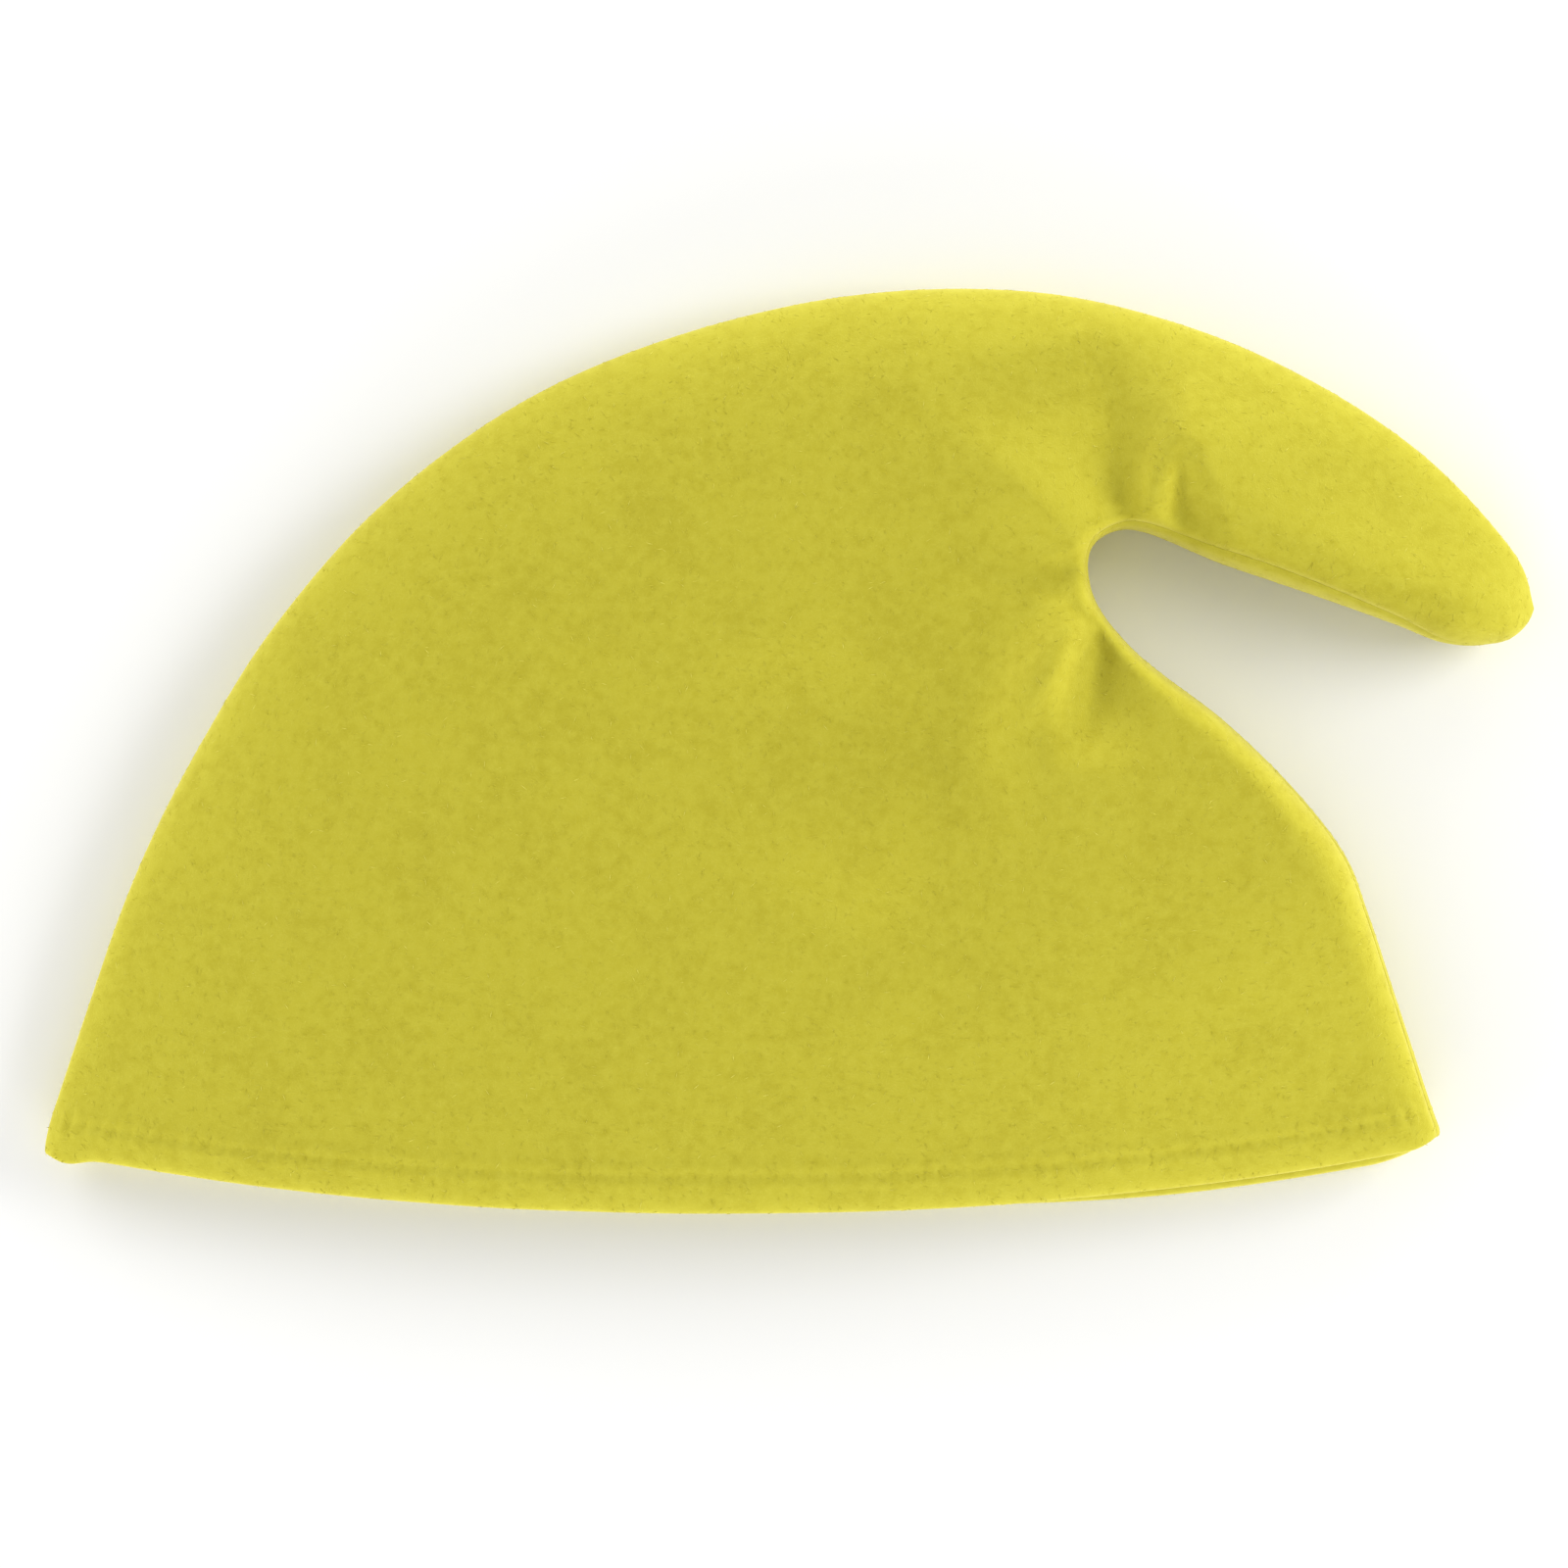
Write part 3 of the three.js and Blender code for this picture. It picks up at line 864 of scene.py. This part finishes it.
def random_between(wire, low, high, seed):
    settings = {"data_type": "FLOAT"}
    return wire.node("FunctionNodeRandomValue", settings, {2: low, 3: high, "Seed": seed}, 1)


def nap_tree():
    """A tree that scatters fibres over the faces whose attribute nap is 1."""
    labels = (("Fibre", "Object"), ("Density", "Float"), ("Shortest", "Float"), ("Longest", "Float"))
    tree, wire, given = node_group("lay_nap", labels + (("Seed", "Int"), ("Material", "Material")))
    seed = given.sibling("Seed")
    outside = wire.node("GeometryNodeInputNamedAttribute", {"data_type": "FLOAT"}, {"Name": "nap"})
    sockets = {"Mesh": given, "Density": given.sibling("Density") * outside, "Seed": seed}
    points = wire.node("GeometryNodeDistributePointsOnFaces", {"distribute_method": "RANDOM"}, sockets)
    spin = random_between(wire, 0.0, 2 * math.pi, seed)
    turn = wire.node("FunctionNodeAxisAngleToRotation", None, {"Axis": (0, 0, 1), "Angle": spin})
    upright = {"Rotation": points.sibling("Rotation"), "Rotate By": turn}
    rotation = wire.node("FunctionNodeRotateRotation", {"rotation_space": "LOCAL"}, upright)
    size = random_between(wire, given.sibling("Shortest"), given.sibling("Longest"), seed + 1)
    shape = wire.node("GeometryNodeObjectInfo", None, {"Object": given.sibling("Fibre")}, "Geometry")
    placed = {"Points": points, "Instance": shape, "Rotation": rotation, "Scale": size}
    fibres = wire.node("GeometryNodeInstanceOnPoints", None, placed)
    toned = {"Geometry": fibres, "Name": "tone", "Value": random_between(wire, 0.0, 1.0, seed + 2)}
    stored = wire.node("GeometryNodeStoreNamedAttribute", {"data_type": "FLOAT", "domain": "INSTANCE"}, toned)
    end_group(wire, stored, given.sibling("Material"))
    return tree


lay_nap = nap_tree()
nap_inputs = {"Fibre": one_fibre, "Seed": NAP_SEED, "Material": felt_nap}
nap_inputs["Shortest"], nap_inputs["Longest"] = FIBRE_SCALES
upper_nap = grown("upper_nap", upper_felt, lay_nap, {**nap_inputs, "Density": FIBRES_PER_M2})
lower_nap = grown("lower_nap", lower_felt, lay_nap, {**nap_inputs, "Density": LOWER_FIBRES_PER_M2})
bpy.data.objects.remove(one_fibre)

# %% [markdown]
# ## The topstitching
# One row of thread holds the turned-up hem. The felt closes over it, so that only the top of each stitch
# shows between two pits. The stitches follow a line, so a tree walks along it, sets a stitch at each step,
# and turns it to lie along the row and to face out of the felt.

# %% One stitch
THREAD = 0.5 * MM
THREAD_SIDES = 6
# how much of the pitch a stitch takes up, and how thin its ends are
STITCH_SHARE = 0.86
END_SHARE = 0.55
# share of the way from the middle of a stitch to its end, and how far it has dived there
STITCH_ARC = ((-1.0, 1.0), (-0.8, 0.42), (-0.4, 0.06), (0.0, 0.0), (0.4, 0.06), (0.8, 0.42), (1.0, 1.0))


def stitch_piece():
    """One stitch: a short arc of thread whose ends dive into the felt."""
    half = STITCH_PITCH * STITCH_SHARE / 2
    points, faces = [], []
    for along, dive in STITCH_ARC:
        radius = THREAD / 2 * (END_SHARE if dive == 1.0 else 1.0)
        for side in range(THREAD_SIDES):
            angle = 2 * math.pi * side / THREAD_SIDES
            points.append((along * half, radius * math.cos(angle), radius * math.sin(angle) - dive * THREAD))
    for ring in range(len(STITCH_ARC) - 1):
        for side in range(THREAD_SIDES):
            a = ring * THREAD_SIDES + side
            b = ring * THREAD_SIDES + (side + 1) % THREAD_SIDES
            faces.append((a, b, b + THREAD_SIDES, a + THREAD_SIDES))
    last = (len(STITCH_ARC) - 1) * THREAD_SIDES
    faces.append(tuple(range(THREAD_SIDES))[::-1])
    faces.append(tuple(range(last, last + THREAD_SIDES)))
    return plain_mesh("one_stitch", points, faces)


one_stitch = stitch_piece()
print("one stitch:", triangles(one_stitch.data), "triangles")

# %% The line that the stitches follow
THREAD_SINK = 0.45 * MM
# distance to each side of the line, over which the way out of the felt is found
BESIDE = 0.5 * MM


def stitch_line(side):
    """The line that the stitches of one hem follow, with the way out of the felt at each point."""
    row = STITCHES[side]
    ends = STITCH_MARGIN + row.pitch / 2, row.lengths[-1] - STITCH_MARGIN - row.pitch / 2
    shares = np.interp(np.linspace(*ends, FINER * row.count), row.lengths, row.shares)
    back_to_front = np.interp(shares, row.shares, row.back_to_front)
    lines = []
    for lift in (-BESIDE, 0, BESIDE):
        u = (stitch_height(back_to_front) + lift)[None] / RIM_SPAN
        lines.append(skin(u, panel_angles(side, u, shares[None]))[0])
    outward = np.cross(np.gradient(lines[1], axis=0), lines[2] - lines[0])
    outward /= np.linalg.norm(outward, axis=1, keepdims=True)
    points = lines[1] - outward * THREAD_SINK
    mesh = bpy.data.meshes.new(side + "_stitch_line")
    mesh.from_pydata(points.tolist(), [(k, k + 1) for k in range(len(points) - 1)], [])
    mesh.attributes.new("outward", "FLOAT_VECTOR", "POINT").data.foreach_set("vector", outward.ravel())
    piece = bpy.data.objects.new(mesh.name, mesh)
    bpy.context.scene.collection.objects.link(piece)
    print(piece.name, len(points), "points")
    return piece


stitch_lines = {side: stitch_line(side) for side in STITCHES}

# %% The hem is sewn
# size of the thread's twist, the noise between which it pales, and its bump
TWIST = 0.5 * MM
TWIST_DETAIL = 2.0
TWIST_RANGE = (0.3, 0.7)
TWIST_STRENGTH = 0.4
TWIST_BUMP = 0.1 * MM
THREAD_ROUGHNESS = 0.7


def thread_finish():
    material, wire, shader = new_material("yellow_thread")
    place = wire.node("ShaderNodeTexCoord", output="Object")
    twist = soft_noise(wire, place, TWIST, TWIST_DETAIL)
    colour = blend(wire, twist.clamped(*TWIST_RANGE), FELT_COLOUR, FELT_PALE)
    wire.feed(shader.inputs["Base Color"], colour)
    sockets = {"Strength": TWIST_STRENGTH, "Distance": TWIST_BUMP, "Height": twist}
    wire.feed(shader.inputs["Normal"], wire.node("ShaderNodeBump", None, sockets))
    shader.inputs["Roughness"].default_value = THREAD_ROUGHNESS
    shader.inputs["Sheen Weight"].default_value = SHEEN_WEIGHT
    shader.inputs["Sheen Tint"].default_value = SHEEN_TINT
    return material


def sewing_tree():
    """A tree that sets stitches along a line."""
    labels = (("Stitch", "Object"), ("Count", "Int"), ("Material", "Material"))
    tree, wire, given = node_group("sew_row", labels)
    line = wire.node("GeometryNodeMeshToCurve", None, {"Mesh": given})
    sockets = {"Curve": line, "Count": given.sibling("Count")}
    steps = wire.node("GeometryNodeResampleCurve", {"mode": "COUNT"}, sockets)
    tangent = wire.node("GeometryNodeInputTangent")
    along = wire.node("FunctionNodeAlignRotationToVector", {"axis": "X"}, {"Vector": tangent})
    outward = wire.node("GeometryNodeInputNamedAttribute", {"data_type": "FLOAT_VECTOR"}, {"Name": "outward"})
    sockets = {"Rotation": along, "Vector": outward}
    facing = wire.node("FunctionNodeAlignRotationToVector", {"axis": "Z", "pivot_axis": "X"}, sockets)
    shape = wire.node("GeometryNodeObjectInfo", None, {"Object": given.sibling("Stitch")}, "Geometry")
    placed = {"Points": steps, "Instance": shape, "Rotation": facing}
    end_group(wire, wire.node("GeometryNodeInstanceOnPoints", None, placed), given.sibling("Material"))
    return tree


def hem_stitches(side):
    """The sewn row of one hem."""
    inputs = {"Stitch": one_stitch, "Count": STITCHES[side].count, "Material": yellow_thread}
    piece = grown(side + "_hem_stitches", stitch_lines[side], sew_row, inputs)
    bpy.data.objects.remove(stitch_lines[side])
    return piece


yellow_thread = thread_finish()
sew_row = sewing_tree()
upper_stitches = hem_stitches("upper")
lower_stitches = hem_stitches("lower")
bpy.data.objects.remove(one_stitch)

# %% [markdown]
# ## The floor, the light and the camera
# The hat is pictured from straight above on white. Felt looks flat under light from above, so the light
# comes in low from all round, as it does in a white tent: it brightens the rolled edges and leaves the flat
# middle darker. One key light on the right stands higher than the others and models the folds. Three fills
# soften its shade from the other sides, and three low lights graze the edges.

# %% Floor
FLOOR_SIDE = 8.0
PAPER_PALE = linear(252, 252, 251)
PAPER_DULL = linear(250, 250, 249)
PAPER_CLOUD = 0.4
PAPER_DETAIL = 2.0
PAPER_ROUGHNESS = 0.8


def studio_floor():
    half = FLOOR_SIDE / 2
    corners = [(-half, -half, 0), (half, -half, 0), (half, half, 0), (-half, half, 0)]
    floor = plain_mesh("floor", corners, [(0, 1, 2, 3)])
    material, wire, shader = new_material("white_floor")
    place = wire.node("ShaderNodeTexCoord", output="Object")
    clouds = soft_noise(wire, place, PAPER_CLOUD, PAPER_DETAIL)
    wire.feed(shader.inputs["Base Color"], blend(wire, clouds, PAPER_DULL, PAPER_PALE))
    shader.inputs["Roughness"].default_value = PAPER_ROUGHNESS
    floor.data.materials.append(material)
    return floor


floor = studio_floor()
print("floor:", FLOOR_SIDE, "m wide")

# %% Light
WHITE = (1, 1, 1, 1)
SURROUND = 0.48
LIGHT_DISTANCE = 1.2
# name, degrees round from the right of the picture, degrees above the floor, width, height, power in watts
LIGHTS = (
    ("key_right", 15, 27, 0.7, 0.5, 9.0),
    ("fill_back_left", 140, 20, 0.9, 0.4, 4.8),
    ("fill_left", 195, 20, 0.9, 0.4, 3.2),
    ("fill_front", 275, 20, 0.9, 0.4, 3.9),
    ("low_front_left", 225, 5, 0.9, 0.12, 7.5),
    ("low_right", 322, 5, 0.9, 0.12, 5.5),
    ("low_back", 80, 5, 0.9, 0.12, 7.5),
)


def soft_light(name, turn, rise, width, height, power):
    """A broad light that faces the hat."""
    lamp = bpy.data.lights.new(name, "AREA")
    lamp.shape = "RECTANGLE"
    lamp.size = width
    lamp.size_y = height
    lamp.energy = power
    light = bpy.data.objects.new(name, lamp)
    turn, rise = math.radians(turn), math.radians(rise)
    level = math.cos(rise)
    way = Vector((math.cos(turn) * level, math.sin(turn) * level, math.sin(rise)))
    light.location = way * LIGHT_DISTANCE
    light.rotation_euler = way.to_track_quat("Z", "Y").to_euler()
    light.visible_camera = False
    bpy.context.scene.collection.objects.link(light)


for row in LIGHTS:
    soft_light(*row)

world = bpy.data.worlds.new("white_surround")
world.use_nodes = True
surround = world.node_tree.nodes["Background"]
surround.inputs["Color"].default_value = WHITE
surround.inputs["Strength"].default_value = SURROUND
bpy.context.scene.world = world
bpy.context.scene.view_settings.view_transform = "Standard"
print("lights:", [name for name, *_ in LIGHTS])

# %% Camera
# width and middle of the picture at the height of the hat's edge
PICTURE_WIDTH = 325.6 * MM
PICTURE_MIDDLE = (-0.8 * MM, -6.8 * MM)
CAMERA_HEIGHT = 1.4
EDGE_HEIGHT = 8 * MM
camera_data = bpy.data.cameras.new("overhead")
camera_data.lens = camera_data.sensor_width * (CAMERA_HEIGHT - EDGE_HEIGHT) / PICTURE_WIDTH
camera = bpy.data.objects.new("overhead", camera_data)
camera.location = (*PICTURE_MIDDLE, CAMERA_HEIGHT)
bpy.context.scene.collection.objects.link(camera)
bpy.context.scene.camera = camera
print("lens:", round(camera_data.lens), "mm")

# %% [markdown]
# ## Handing the pieces to the frame
# Every piece rides on the hat's one body. The two panels, each a sheet of felt, stand for the plain panels
# of the frame, which are hidden.

for piece in (upper_felt, lower_felt, upper_nap, lower_nap, upper_stitches, lower_stitches):
    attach(piece, "root")
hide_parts("upper_panel")
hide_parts("lower_panel")
